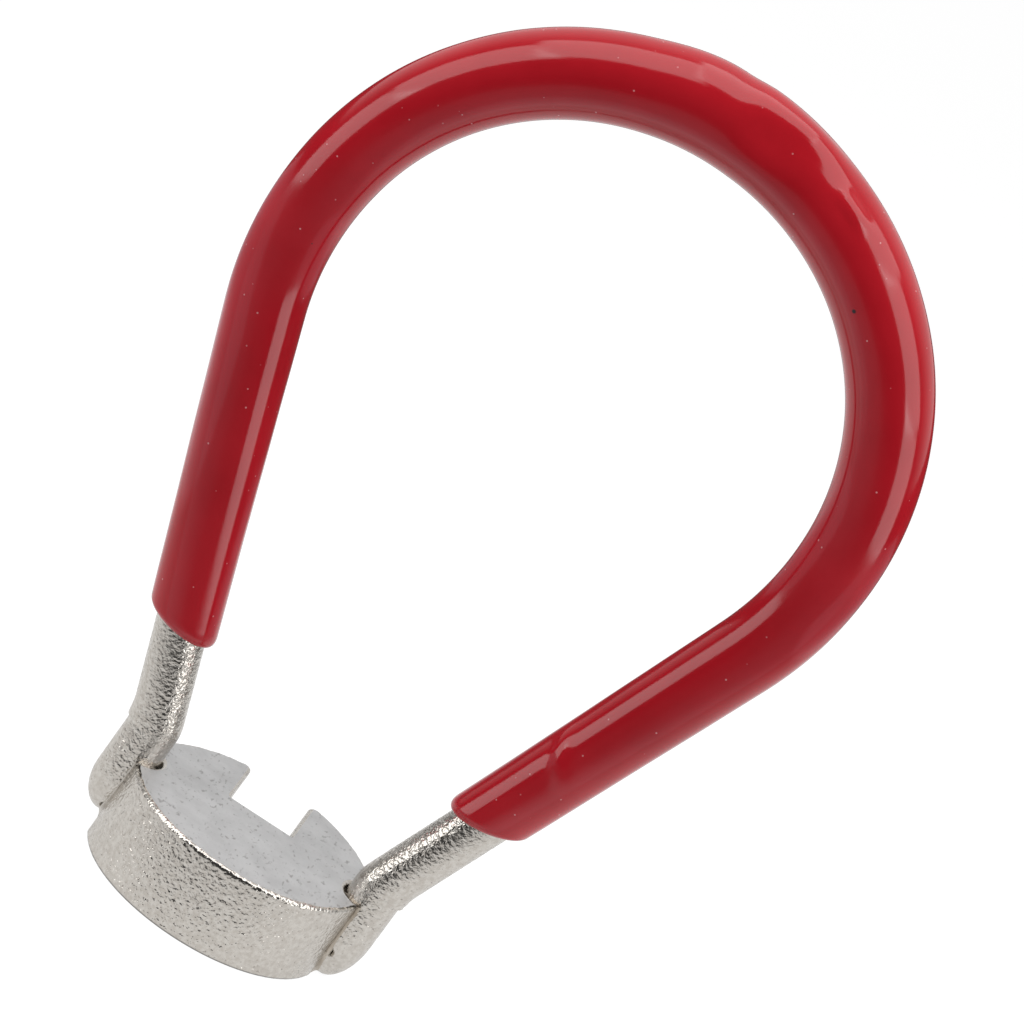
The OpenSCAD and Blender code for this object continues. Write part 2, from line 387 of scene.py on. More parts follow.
def wire_stations(side):
    """Wide steps inside the coat, fine ones where the wire is bare, finest at a foot's end."""
    bare = coat_len(side) - HIDDEN_LAP
    coarse = np.linspace(0, bare, math.ceil(bare / COARSE_STEP), endpoint=False)
    end = wire_len(side) - FOOT_TAPER[side]
    fine = np.linspace(bare, end, math.ceil((end - bare) / FINE_STEP), endpoint=False)
    turns = np.linspace(0, math.pi / 2, END_RINGS)[:-1]
    return np.concatenate([coarse, fine, end + FOOT_TAPER[side] * np.sin(turns)])


def wire_ring(side, s, around):
    centre, outward = centre_line(side, s)
    unit = np.cos(around)[:, None] * outward + np.sin(around)[:, None] * FRONT
    fold = rise(s, FOLD_FROM, FOLD_AT) * (1.0 - rise(s, FOLD_AT, FOLD_TO))
    radius = WIRE_R * end_share(side, s) + FOLD_HEIGHT * fold * smooth_bump(
        turn_between(around, 0.0) / FOLD_ANGLE)
    for pit_side, from_end, angle, half, depth in PITS:
        if pit_side == side:
            along = (wire_len(side) - from_end - s) / half
            across = turn_between(around, angle) * WIRE_R / half
            radius = radius - depth * smooth_bump(np.hypot(along, across))
    ring = centre + radius[:, None] * unit
    bare = min(1.0, max(0.0, (s - coat_len(side)) / HIDDEN_LAP + 1.0))
    shown = bare * math.sqrt(end_share(side, s))
    if shown > 0:
        ring = ring + (WIRE_CRINKLE * shown * crinkle(ring))[:, None] * unit
    return ring


def make_wire():
    """The whole wire. The right foot ends flush with the lower face, so nothing of it goes below."""
    around = np.arange(WIRE_SIDES) * 2 * math.pi / WIRE_SIDES
    left = [wire_ring(LEFT, s, around) for s in wire_stations(LEFT)]
    right = [wire_ring(RIGHT, s, around) for s in wire_stations(RIGHT)]
    rings = left[:0:-1] + right
    tube = np.concatenate(rings)
    tube[:, 2] = np.maximum(tube[:, 2], 0.0)
    points = list(tube)
    faces = band_faces(len(rings), WIRE_SIDES)
    last = (len(rings) - 1) * WIRE_SIDES
    ends = [leaned(side * FOOT_X, 0.0, foot_end(side)) for side in (LEFT, RIGHT)]
    tip = len(points)
    for k in range(WIRE_SIDES):
        turn = (k + 1) % WIRE_SIDES
        faces.append((tip, turn, k))
        faces.append((tip + 1, last + k, last + turn))
    return piece_from("hoop_wire", points + ends, faces)


# Head

WALL_STEP = 0.055
# The upper rim: its rounding and the rings in it, and the size, octaves and depth of its nibbles
RIM_ROUND = 0.20
RIM_STEPS = 4
RIM_GRAIN = 0.45
RIM_OCTAVES = 3
RIM_NIBBLE = 0.09
# Distances from a foot's centre between which the crinkle comes back, and its share at the foot
CALM_FROM = 2.6
CALM_TO = 1.2
CALM_SHARE = 0.3
# Shares of the wall's crinkle in the slot and seats, on the lower edge and on the upper rim
SLOT_ROUGH_SHARE = 0.2
EDGE_ROUGH_SHARE = 0.5
RIM_ROUGH_SHARE = 1.4
# Place of the ring in the lower edge, as shares of the edge's size
EDGE_LEVEL_SHARE = 0.3
EDGE_INSET_SHARE = 0.4
# Spacing of the points inside a flat face, and the gap under which two of them are one
FACE_GRID = 0.45
SAME_POINT = 1e-6
# The setting of delaunay_2d_cdt that keeps only what is inside the outline
INSIDE_ONLY = 1


def arc_points(centre, radius, start, end):
    """Points along an arc, without its last one."""
    count = max(2, math.ceil(abs(end - start) * radius / WALL_STEP))
    angles = np.linspace(start, end, count, endpoint=False)
    return [(centre[0] + radius * math.cos(a), centre[1] + radius * math.sin(a)) for a in angles]


def line_points(a, b):
    count = max(2, math.ceil(math.dist(a, b) / WALL_STEP))
    return [tuple(np.array(a) + (np.array(b) - np.array(a)) * k / count) for k in range(count)]


def head_outline():
    """The head in plan, anticlockwise from the right jaw's mouth end, and what each point is on."""
    jaw = SLOT_W / 2
    round_x = jaw + MOUTH_ROUND
    round_y = math.sqrt((HEAD_R - MOUTH_ROUND) ** 2 - round_x ** 2)
    mouth = math.atan2(round_y, round_x)
    seat_x = (HEAD_R ** 2 - SEAT_R ** 2 + FOOT_X ** 2) / (2 * FOOT_X)
    seat_y = math.sqrt(HEAD_R ** 2 - seat_x ** 2)
    seat = math.atan2(seat_y, seat_x)
    inner = math.atan2(seat_y, seat_x - FOOT_X)
    parts = [
        ("slot", line_points((jaw, round_y), (jaw, SLOT_FLOOR))),
        ("slot", line_points((jaw, SLOT_FLOOR), (-jaw, SLOT_FLOOR))),
        ("slot", line_points((-jaw, SLOT_FLOOR), (-jaw, round_y))),
        ("slot", arc_points((-round_x, round_y), MOUTH_ROUND, 0.0, math.pi - mouth)),
        ("wall", arc_points((0, 0), HEAD_R, math.pi - mouth, math.pi - seat)),
        ("seat", arc_points((-FOOT_X, 0), SEAT_R, math.pi - inner, inner - math.pi)),
        ("wall", arc_points((0, 0), HEAD_R, math.pi + seat, 2 * math.pi - seat)),
        ("seat", arc_points((FOOT_X, 0), SEAT_R, -inner, inner - 2 * math.pi)),
        ("wall", arc_points((0, 0), HEAD_R, seat, mouth)),
        ("slot", arc_points((round_x, round_y), MOUTH_ROUND, mouth, math.pi)),
    ]
    points = [p for _, run in parts for p in run]
    kinds = [kind for kind, run in parts for _ in run]
    return np.array(points), kinds


def calm(points):
    """Share of the crinkle that is left near the feet, where the filler wetted the wall."""
    gap = np.minimum(*[np.hypot(points[:, 0] - side * FOOT_X, points[:, 1]) for side in (LEFT, RIGHT)])
    return CALM_SHARE + (1 - CALM_SHARE) * rise(gap, CALM_TO, CALM_FROM)


def fill_face(rim, level):
    """Points and triangles of a flat face inside a rim, with a grid of points of its own."""
    low, high = rim.min(axis=0), rim.max(axis=0)
    across = np.arange(low[0] + FACE_GRID / 2, high[0], FACE_GRID)
    deep = np.arange(low[1] + FACE_GRID / 2, high[1], FACE_GRID)
    inner = [Vector((x, y)) for x in across for y in deep]
    count = len(rim)
    edges = [(k, (k + 1) % count) for k in range(count)]
    given = [Vector(p[:2]) for p in rim] + inner
    points, _, faces, *_ = delaunay_2d_cdt(given, edges, [], INSIDE_ONLY, SAME_POINT)
    used = sorted({k for face in faces for k in face})
    place = {k: i for i, k in enumerate(used)}
    return ([(points[k].x, points[k].y, level) for k in used],
            [tuple(place[k] for k in face) for face in faces])


def make_head():
    """The head with its crinkled side, nibbled rim and flat faces. The faces have the second material."""
    outline, kinds = head_outline()
    count = len(outline)
    ahead = np.roll(outline, -1, axis=0) - np.roll(outline, 1, axis=0)
    normal = np.stack([ahead[:, 1], -ahead[:, 0]], axis=1)
    normal /= np.linalg.norm(normal, axis=1)[:, None]
    rough = np.array([1.0 if kind == "wall" else SLOT_ROUGH_SHARE for kind in kinds]) * calm(outline)
    outward = np.concatenate([normal, np.zeros((count, 1))], axis=1)

    def ring(level, inset, share):
        x = outline[:, 0] / math.cos(AXIS_LEAN) + level * math.tan(AXIS_LEAN)
        base = np.stack([x, outline[:, 1], np.full(count, level)], axis=1) - inset * outward
        if share == 0:
            return base
        return base + (WALL_CRINKLE * share * rough * crinkle(base))[:, None] * outward

    bites = grain(ring(HEAD_T, 0.0, 0.0), RIM_GRAIN, RIM_OCTAVES)
    nibble = np.clip(bites, 0.0, 1.0) * RIM_NIBBLE * rough
    wall_top = HEAD_T - RIM_ROUND
    rows = math.ceil((wall_top - HEAD_EDGE) / WALL_STEP)
    lower = ring(0.0, HEAD_EDGE, 0.0)
    edge = ring(EDGE_LEVEL_SHARE * HEAD_EDGE, EDGE_INSET_SHARE * HEAD_EDGE, EDGE_ROUGH_SHARE)
    rings = [lower, edge]
    for k in range(rows + 1):
        rings.append(ring(HEAD_EDGE + (wall_top - HEAD_EDGE) * k / rows, 0.0, 1.0))
    for k in range(1, RIM_STEPS + 1):
        turn = math.pi / 2 * k / RIM_STEPS
        inset = RIM_ROUND * (1 - math.cos(turn))
        share = RIM_ROUGH_SHARE if k < RIM_STEPS else 0.0
        bitten = (nibble * k / RIM_STEPS)[:, None] * outward
        rings.append(ring(wall_top + RIM_ROUND * math.sin(turn), inset, share) - bitten)
    upper = rings[-1]
    points = [tuple(p) for p in np.concatenate(rings)]
    faces = band_faces(len(rings), count)
    flats = len(faces)
    for rim, level, upward in ((lower, 0.0, False), (upper, HEAD_T, True)):
        cap_points, cap_faces = fill_face(rim, level)
        first = len(points)
        points += cap_points
        for face in cap_faces:
            turned = face if upward else face[::-1]
            faces.append(tuple(first + k for k in turned))
    head = piece_from("slotted_head", points, faces)
    for flat_face in head.data.polygons[flats:]:
        flat_face.use_smooth = False
        flat_face.material_index = 1
    return head


# Filler

# Spacing of the filler's levels, its lowest level, and how far under the top face it ends
FILLER_STEP = 0.06
FILLER_FROM = 0.12
FILLER_TOP = {LEFT: 0.06, RIGHT: 0.04}
# Depth of the crevice in its top, and the places along Y between which it deepens
CREVICE = 0.55
CREVICE_FROM = -0.9
CREVICE_TO = 0.6
# Depth to which the filler's edges lie in the wall and the foot, and its least radius at the foot
FILLER_SUNK = 0.02
FILLER_LEAST_R = 0.02
# Turn round the head from a seat's edge to the fillet's edge on the wall, at the least
FILLER_WALL_TURN = 0.01
# Where a fillet's corner lies once the foot has drawn back from the wall, as a share of the
# foot's radius
CORNER_SHARE = 0.3
CURVE_POINTS = 8
BACK_POINTS = 40


def circle_meet(radius_a, centre_b, radius_b):
    """Front crossing of a circle round the axis with one round a foot, or None."""
    x = (radius_a ** 2 - radius_b ** 2 + centre_b ** 2) / (2 * centre_b)
    square = radius_a ** 2 - x ** 2
    return (x, math.sqrt(square)) if square > 0 else None


def filler_section(side, foot_r, share):
    """A level outline of the filler, across to the right, from the front of the wall to its back.

    It has the front fillet, the part against the foot, the back fillet and the film in the seat.
    """
    fillet = FILLET_R[side]
    from_head, from_foot = HEAD_R + fillet, WIRE_R + fillet
    cx, cy = circle_meet(from_head, FOOT_X, from_foot)
    on_wall = math.atan2(cy, cx)
    seat = circle_meet(HEAD_R, FOOT_X, SEAT_R)
    seat_turn = math.atan2(seat[1], seat[0])
    wall_turn = seat_turn + FILLER_WALL_TURN + (on_wall - seat_turn) * share
    wall_r = HEAD_R - FILLER_SUNK
    wall = (wall_r * math.cos(wall_turn), wall_r * math.sin(wall_turn))
    foot_turn = math.atan2(cy, cx - FOOT_X)
    touch_r = max(FILLER_LEAST_R, foot_r - FILLER_SUNK)
    touch = (FOOT_X + touch_r * math.cos(foot_turn), touch_r * math.sin(foot_turn))
    corner = circle_meet(HEAD_R, FOOT_X, touch_r) or (HEAD_R, CORNER_SHARE * touch_r)
    t = np.linspace(0, 1, CURVE_POINTS)[:, None]
    curve = (1 - t) ** 2 * np.array(wall) + 2 * t * (1 - t) * np.array(corner) + t ** 2 * np.array(touch)
    inner = np.linspace(foot_turn, 2 * math.pi - foot_turn, BACK_POINTS)[1:-1]
    against = np.stack([FOOT_X + touch_r * np.cos(inner), touch_r * np.sin(inner)], axis=1)
    back = curve[::-1] * np.array([1, -1])
    seat_in = math.atan2(seat[1], seat[0] - FOOT_X)
    film = np.linspace(2 * math.pi - seat_in, seat_in, BACK_POINTS)
    seat_r = SEAT_R + FILLER_SUNK
    seat_points = np.stack([FOOT_X + seat_r * np.cos(film), seat_r * np.sin(film)], axis=1)
    return np.concatenate([curve, against, back, seat_points])


def end_cap(ring, first, upward):
    """Triangles over a ring of points, all facing up or all facing down."""
    faces = []
    for a, b, c in tessellate_polygon([[Vector((p[0], p[1], 0.0)) for p in ring]]):
        (ax, ay), (bx, by), (cx, cy) = ring[a][:2], ring[b][:2], ring[c][:2]
        faces_up = (bx - ax) * (cy - ay) - (by - ay) * (cx - ax) > 0
        turned = (a, b, c) if faces_up == upward else (a, c, b)
        faces.append(tuple(first + k for k in turned))
    return faces


def make_filler(side, name):
    """The filler at one foot, from the foot's end up to the head's top face."""
    low = max(FILLER_FROM, FOOT_LIFT[side])
    high = HEAD_T - FILLER_TOP[side]
    levels = np.linspace(low, high, math.ceil((high - low) / FILLER_STEP))
    rings = []
    for level in levels:
        height = axis_height(side * FOOT_X, level)
        foot_r = WIRE_R * end_share(side, FOOT_START + BEND_Z - BEND_CUT - height)
        plan = filler_section(side, foot_r, foot_r / WIRE_R)
        x, y = side * plan[:, 0], -plan[:, 1]
        places = np.array([leaned(a, b, axis_height(a, level)) for a, b in zip(x, y)])
        at = np.arange(len(plan))
        back_from = CURVE_POINTS + BACK_POINTS - 2
        on_fillet = (at < CURVE_POINTS) | (at >= back_from) & (at < back_from + CURVE_POINTS)
        depth = on_fillet * WIRE_CRINKLE
        away = places - leaned(0.0, 0.0, height)
        away[:, 2] = 0
        away /= np.linalg.norm(away, axis=1)[:, None]
        rings.append(places + (depth * crinkle(places))[:, None] * away)
    count = len(rings[0])
    rings[-1][:, 2] -= rise(rings[-1][:, 1], CREVICE_FROM, CREVICE_TO) * CREVICE
    points = [tuple(p) for p in np.concatenate(rings)]
    faces = band_faces(len(rings), count)
    if side == RIGHT:
        faces = [face[::-1] for face in faces]
    sides = len(faces)
    faces += end_cap(rings[0], 0, False)
    faces += end_cap(rings[-1], (len(rings) - 1) * count, True)
    filler = piece_from(name, points, faces)
    for flat_face in filler.data.polygons[sides:]:
        flat_face.use_smooth = False
    return filler


# Materials

BLACK = (0.0, 0.0, 0.0)
WHITE = (1.0, 1.0, 1.0)
# Sockets of a Mix node that mixes colours: its two colours and its result
MIX_FIRST = 6
MIX_SECOND = 7
MIX_RESULT = 2

PLATE_DARK = (0.545, 0.510, 0.465)
PLATE_LIGHT = (0.645, 0.615, 0.57)
PLATE_PIT = (0.36, 0.33, 0.30)
# Colour of the painted shade line on the lower rim
PLATE_RIM_SHADE = (0.20, 0.19, 0.18)
# Height up to which a painted shade line darkens the lower rim, for the shadowed floor that the chamfer
# mirrors, and the share of it that is quite dark
RIM_SHADE_HEIGHT = 0.14
RIM_SHADE_CORE_SHARE = 0.4

FACE_DARK = 0.535
FACE_LIGHT = 0.61
FACE_PIT = (0.38, 0.375, 0.37)
# Pits lie longer along Y, so that they look about round from the camera
FACE_PIT_STRETCH = (1.2, 0.55, 1.0)

VINYL_DARK = (0.395, 0.007, 0.014)
VINYL_LIGHT = (0.465, 0.010, 0.019)
DUST = (0.64, 0.27, 0.28)
SPECK = (0.03, 0.012, 0.014)
# Share of a speck's radius that is quite dark
SPECK_CORE_SHARE = 0.6
# Dark specks in the coat: side, station, angle round the wire, radius
SPECKS = (
    (RIGHT, 9.66, math.radians(107.5), 0.13),
    (LEFT, 25.65, math.radians(122), 0.06),
)


def grey(level):
    return (level, level, level)


def new_material(name):
    material = bpy.data.materials.new(name)
    material.use_nodes = True
    nodes = material.node_tree.nodes
    return material, nodes, material.node_tree.links, nodes["Principled BSDF"]


def add(nodes, kind, **values):
    node = nodes.new(kind)
    for key, value in values.items():
        setattr(node, key, value)
    return node


def noise_node(nodes, links, coords, scale, detail=2.0, roughness=0.5, distortion=0.0):
    node = nodes.new("ShaderNodeTexNoise")
    node.inputs["Scale"].default_value = scale
    node.inputs["Detail"].default_value = detail
    node.inputs["Roughness"].default_value = roughness
    node.inputs["Distortion"].default_value = distortion
    links.new(coords, node.inputs["Vector"])
    return node.outputs["Fac"]


def ramp(nodes, links, source, stops):
    """Colours along a value of 0 to 1, from stops that hold a place and a colour."""
    node = nodes.new("ShaderNodeValToRGB")
    elements = node.color_ramp.elements
    while len(elements) < len(stops):
        elements.new(0.5)
    for element, (at, colour) in zip(elements, stops):
        element.position = at
        element.color = (*colour, 1.0)
    links.new(source, node.inputs["Fac"])
    return node.outputs["Color"]


def mix_colour(nodes, links, share, a, b):
    node = add(nodes, "ShaderNodeMix", data_type="RGBA")
    links.new(share, node.inputs["Factor"])
    for value, socket in ((a, node.inputs[MIX_FIRST]), (b, node.inputs[MIX_SECOND])):
        if isinstance(value, tuple):
            socket.default_value = (*value, 1.0)
        else:
            links.new(value, socket)
    return node.outputs[MIX_RESULT]


def number(nodes, links, operation, *values):
    """A Math node's result from sockets or plain numbers."""
    node = add(nodes, "ShaderNodeMath", operation=operation)
    for value, socket in zip(values, node.inputs):
        if isinstance(value, float):
            socket.default_value = value
        else:
            links.new(value, socket)
    return node.outputs["Value"]


def bump_from(nodes, links, height, distance, strength=1.0, onto=None):
    node = nodes.new("ShaderNodeBump")
    node.inputs["Strength"].default_value = strength
    node.inputs["Distance"].default_value = distance
    links.new(height, node.inputs["Height"])
    if onto is not None:
        links.new(onto, node.inputs["Normal"])
    return node.outputs["Normal"]


def object_coords(nodes):
    return nodes.new("ShaderNodeTexCoord").outputs["Object"]


def plated_material():
    """Nickel over crinkled steel: warm, glossy between fine dents, with a few dark pits and a line of
    painted shade along the lower rim.
    """
    material, nodes, links, shader = new_material("plated_steel")
    coords = object_coords(nodes)
    tint = noise_node(nodes, links, coords, scale=3800.0, detail=3.0, roughness=0.6)
    base = ramp(nodes, links, tint, [(0.38, PLATE_DARK), (0.62, PLATE_LIGHT)])
    pits = noise_node(nodes, links, coords, scale=4300.0, roughness=0.55)
    dark = ramp(nodes, links, pits, [(0.27, BLACK), (0.34, WHITE)])
    colour = mix_colour(nodes, links, dark, PLATE_PIT, base)
    # Painted shade: the colour darkens close to the lower face, for the shadowed floor that the lower
    # chamfer mirrors
    split = nodes.new("ShaderNodeSeparateXYZ")
    links.new(coords, split.inputs["Vector"])
    rim = add(nodes, "ShaderNodeMapRange", clamp=True)
    links.new(split.outputs["Z"], rim.inputs["Value"])
    rim.inputs["From Min"].default_value = RIM_SHADE_HEIGHT * MM
    rim.inputs["From Max"].default_value = RIM_SHADE_CORE_SHARE * RIM_SHADE_HEIGHT * MM
    colour = mix_colour(nodes, links, rim.outputs["Result"], colour, PLATE_RIM_SHADE)
    links.new(colour, shader.inputs["Base Color"])
    shader.inputs["Metallic"].default_value = 1.0
    worn = noise_node(nodes, links, coords, scale=1900.0)
    rough = ramp(nodes, links, worn, [(0.3, grey(0.13)), (0.7, grey(0.25))])
    links.new(rough, shader.inputs["Roughness"])
    peel = noise_node(nodes, links, coords, scale=5600.0, detail=1.5)
    coarse = bump_from(nodes, links, peel, distance=0.00005)
    fine = bump_from(nodes, links, pits, distance=0.00002, strength=0.8, onto=coarse)
    links.new(fine, shader.inputs["Normal"])
    return material


def face_material():
    """The head's flat faces: matte, cool and finely pitted."""
    material, nodes, links, shader = new_material("matte_face")
    coords = object_coords(nodes)
    cloud = noise_node(nodes, links, coords, scale=700.0, detail=4.0, roughness=0.6)
    base = ramp(nodes, links, cloud, [(0.35, grey(FACE_DARK)), (0.65, grey(FACE_LIGHT))])
    stretch = add(nodes, "ShaderNodeMapping")
    stretch.inputs["Scale"].default_value = FACE_PIT_STRETCH
    links.new(coords, stretch.inputs["Vector"])
    pits = noise_node(nodes, links, stretch.outputs["Vector"], scale=4200.0, roughness=0.55, distortion=0.4)
    dark = ramp(nodes, links, pits, [(0.29, BLACK), (0.40, WHITE)])
    colour = mix_colour(nodes, links, dark, FACE_PIT, base)
    links.new(colour, shader.inputs["Base Color"])
    shader.inputs["Metallic"].default_value = 0.75
    shader.inputs["Roughness"].default_value = 0.55
    links.new(bump_from(nodes, links, pits, distance=0.00002, strength=0.5), shader.inputs["Normal"])
    return material


def filler_material(name, low, high):
    """Brazing filler under thin plating, between two colours."""
    material, nodes, links, shader = new_material(name)
    coords = object_coords(nodes)
    cloud = noise_node(nodes, links, coords, scale=900.0, detail=3.0)
    base = ramp(nodes, links, cloud, [(0.35, low), (0.65, high)])
    links.new(base, shader.inputs["Base Color"])
    shader.inputs["Metallic"].default_value = 1.0
    shader.inputs["Roughness"].default_value = 0.34
    grains = noise_node(nodes, links, coords, scale=3400.0)
    links.new(bump_from(nodes, links, grains, distance=0.00004), shader.inputs["Normal"])
    return material


def near_point(nodes, links, coords, place, radius):
    """1 at a place on the object, falling to 0 at a radius from it. Both are in metres."""
    gap = add(nodes, "ShaderNodeVectorMath", operation="DISTANCE")
    links.new(coords, gap.inputs[0])
    gap.inputs[1].default_value = tuple(place)
    test = add(nodes, "ShaderNodeMapRange", clamp=True)
    links.new(gap.outputs["Value"], test.inputs["Value"])
    test.inputs["From Min"].default_value = radius
    test.inputs["From Max"].default_value = radius * SPECK_CORE_SHARE
    return test.outputs["Result"]


def vinyl_material():
    """Dipped vinyl: deep red under a clear gloss, with dust and specks in it."""
    material, nodes, links, shader = new_material("red_vinyl")
    coords = object_coords(nodes)
    cloud = noise_node(nodes, links, coords, scale=220.0, detail=3.0)
    colour = ramp(nodes, links, cloud, [(0.3, VINYL_DARK), (0.7, VINYL_LIGHT)])
    dust = add(nodes, "ShaderNodeTexVoronoi", feature="F1")
    dust.inputs["Scale"].default_value = 1500.0
    links.new(coords, dust.inputs["Vector"])
    dot = ramp(nodes, links, dust.outputs["Distance"], [(0.05, WHITE), (0.085, BLACK)])
    patches = noise_node(nodes, links, coords, scale=900.0, detail=1.0)
    chosen = ramp(nodes, links, patches, [(0.48, BLACK), (0.56, WHITE)])
    colour = mix_colour(nodes, links, number(nodes, links, "MULTIPLY", dot, chosen), colour, DUST)
    for side, station, around, radius in SPECKS:
        place = surface_point(side, station, around, coat_radius(side, station)) * MM
        spot = near_point(nodes, links, coords, place, radius * MM)
        colour = mix_colour(nodes, links, spot, colour, SPECK)
    links.new(colour, shader.inputs["Base Color"])
    shader.inputs["Roughness"].default_value = 0.12
    shader.inputs["IOR"].default_value = 1.5
    ripple = noise_node(nodes, links, coords, scale=420.0)
    links.new(bump_from(nodes, links, ripple, distance=0.00002, strength=0.3), shader.inputs["Normal"])
    return material


def dress(piece, materials):
    for material in materials:
        piece.data.materials.append(material)


# The pieces

plated, matte, vinyl = plated_material(), face_material(), vinyl_material()

coat = make_coat()
dress(coat, [vinyl])
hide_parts("vinyl_grip")
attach(coat, "root")

wire = make_wire()
dress(wire, [plated])
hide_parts("wire_hoop")
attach(wire, "root")

head = make_head()
dress(head, [plated, matte])
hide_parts("head")
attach(head, "root")

# The filler at each foot: its side, its node and the two colours of its metal
FILLERS = (
    (LEFT, "left_braze", (0.51, 0.475, 0.43), (0.60, 0.57, 0.525)),
    (RIGHT, "right_braze", (0.36, 0.31, 0.25), (0.56, 0.51, 0.445)),
)
for side, node, low_tint, high_tint in FILLERS:
    braze = make_filler(side, f"{node}_flow")
    dress(braze, [filler_material(f"{node}_metal", low_tint, high_tint)])
    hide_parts(node)
    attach(braze, "root")


# Floor, light and camera

# The floor: half of its width, its strength to the camera, the share of that which the object mirrors,
# and the colour with which it takes shadows
FLOOR_HALF = 1.2
FLOOR_WHITE = 0.94
FLOOR_MIRROR = 0.82
FLOOR_SHADE = 0.16
# It is mirrored white round a place behind the head and fades to dark, between two distances from there
WHITE_MIDDLE = (0.010, 0.030, 0.0)
WHITE_TO = 0.036
DARK_FROM = 0.076
# Its colours for all other light, at that place and far from it
FLOOR_LIT_NEAR = 0.88
FLOOR_LIT_FAR = 0.14

# The mirrored world: its strength in front, where along Y it rises to 1, and the share that it lights with
WORLD_FRONT = 0.06
WORLD_RISE_FROM = -0.1
WORLD_RISE_TO = 0.7
WORLD_LIGHT = 0.75


def background_rays(nodes, links):
    """Is Camera Ray, and 1 for every ray that shows the background: camera, glossy or transmission."""
    path = nodes.new("ShaderNodeLightPath").outputs
    mirrored = number(nodes, links, "MAXIMUM", path["Is Glossy Ray"], path["Is Transmission Ray"])
    return path["Is Camera Ray"], number(nodes, links, "MAXIMUM", path["Is Camera Ray"], mirrored)


def make_floor():
    """A white floor that keeps a faint shadow. What the object mirrors of it fades to dark in front."""
    bpy.ops.mesh.primitive_plane_add(size=2 * FLOOR_HALF, location=(0, 0, 0))
    floor = bpy.context.object
    floor.name = "floor"
    material = bpy.data.materials.new("white_floor")
    material.use_nodes = True
    nodes, links = material.node_tree.nodes, material.node_tree.links
    nodes.clear()
    far = add(nodes, "ShaderNodeVectorMath", operation="DISTANCE")
    links.new(object_coords(nodes), far.inputs[0])
    far.inputs[1].default_value = WHITE_MIDDLE
    fade = add(nodes, "ShaderNodeMapRange", interpolation_type="SMOOTHSTEP")
    links.new(far.outputs["Value"], fade.inputs["Value"])
    fade.inputs["From Min"].default_value = WHITE_TO
    fade.inputs["From Max"].default_value = DARK_FROM
    lit = nodes.new("ShaderNodeBsdfDiffuse")
    colour = mix_colour(nodes, links, fade.outputs["Result"], grey(FLOOR_LIT_NEAR), grey(FLOOR_LIT_FAR))
    links.new(colour, lit.inputs["Color"])
    shade = nodes.new("ShaderNodeBsdfDiffuse")
    shade.inputs["Color"].default_value = (*grey(FLOOR_SHADE), 1.0)
    camera, shown = background_rays(nodes, links)
    near = number(nodes, links, "MULTIPLY_ADD", fade.outputs["Result"], -FLOOR_MIRROR, FLOOR_MIRROR)
    white = number(nodes, links, "MAXIMUM", camera, near)
    glow = nodes.new("ShaderNodeEmission")
    links.new(number(nodes, links, "MULTIPLY", white, FLOOR_WHITE), glow.inputs["Strength"])
    seen = nodes.new("ShaderNodeAddShader")
    links.new(shade.outputs["BSDF"], seen.inputs[0])
    links.new(glow.outputs["Emission"], seen.inputs[1])
    choice = nodes.new("ShaderNodeMixShader")
    links.new(shown, choice.inputs["Fac"])
    links.new(lit.outputs["BSDF"], choice.inputs[1])
    links.new(seen.outputs["Shader"], choice.inputs[2])
    output = nodes.new("ShaderNodeOutputMaterial")
    links.new(choice.outputs["Shader"], output.inputs["Surface"])
    floor.data.materials.append(material)


def make_world():
    """White to the camera. What the object mirrors of it is dark at the front and white at the back."""
    world = bpy.data.worlds.new("studio")
    bpy.context.scene.world = world
    world.use_nodes = True
    nodes, links = world.node_tree.nodes, world.node_tree.links
    nodes.clear()
    split = nodes.new("ShaderNodeSeparateXYZ")
    links.new(nodes.new("ShaderNodeTexCoord").outputs["Generated"], split.inputs["Vector"])
    back = add(nodes, "ShaderNodeMapRange", interpolation_type="SMOOTHSTEP")
    links.new(split.outputs["Y"], back.inputs["Value"])
    back.inputs["From Min"].default_value = WORLD_RISE_FROM
    back.inputs["From Max"].default_value = WORLD_RISE_TO
    back.inputs["To Min"].default_value = WORLD_FRONT
    mirrored = back.outputs["Result"]
    around = nodes.new("ShaderNodeBackground")
    links.new(number(nodes, links, "MULTIPLY", mirrored, WORLD_LIGHT), around.inputs["Strength"])
    camera, shown = background_rays(nodes, links)
    white = nodes.new("ShaderNodeBackground")
    links.new(number(nodes, links, "MAXIMUM", camera, mirrored), white.inputs["Strength"])
    choice = nodes.new("ShaderNodeMixShader")
    links.new(shown, choice.inputs["Fac"])
    links.new(around.outputs["Background"], choice.inputs[1])
    links.new(white.outputs["Background"], choice.inputs[2])
    output = nodes.new("ShaderNodeOutputWorld")
    links.new(choice.outputs["Shader"], output.inputs["Surface"])


# An arch of soft boxes stands over the object from left to right. Its two ends lie further in front.
ARCH_RADIUS = 0.14
ARCH_BOXES = 7
ARCH_FORWARD = 0.38
# Width of the boxes at the ends, how much wider they are at the top, and how fast that dies away
ARCH_WIDTH = 0.095
ARCH_TOP_WIDER = 0.028
ARCH_TOP_POWER = 4
# Length of a box as a share of the room that it has in the arch
ARCH_LAP = 1.04
ARCH_RADIANCE = 2.25


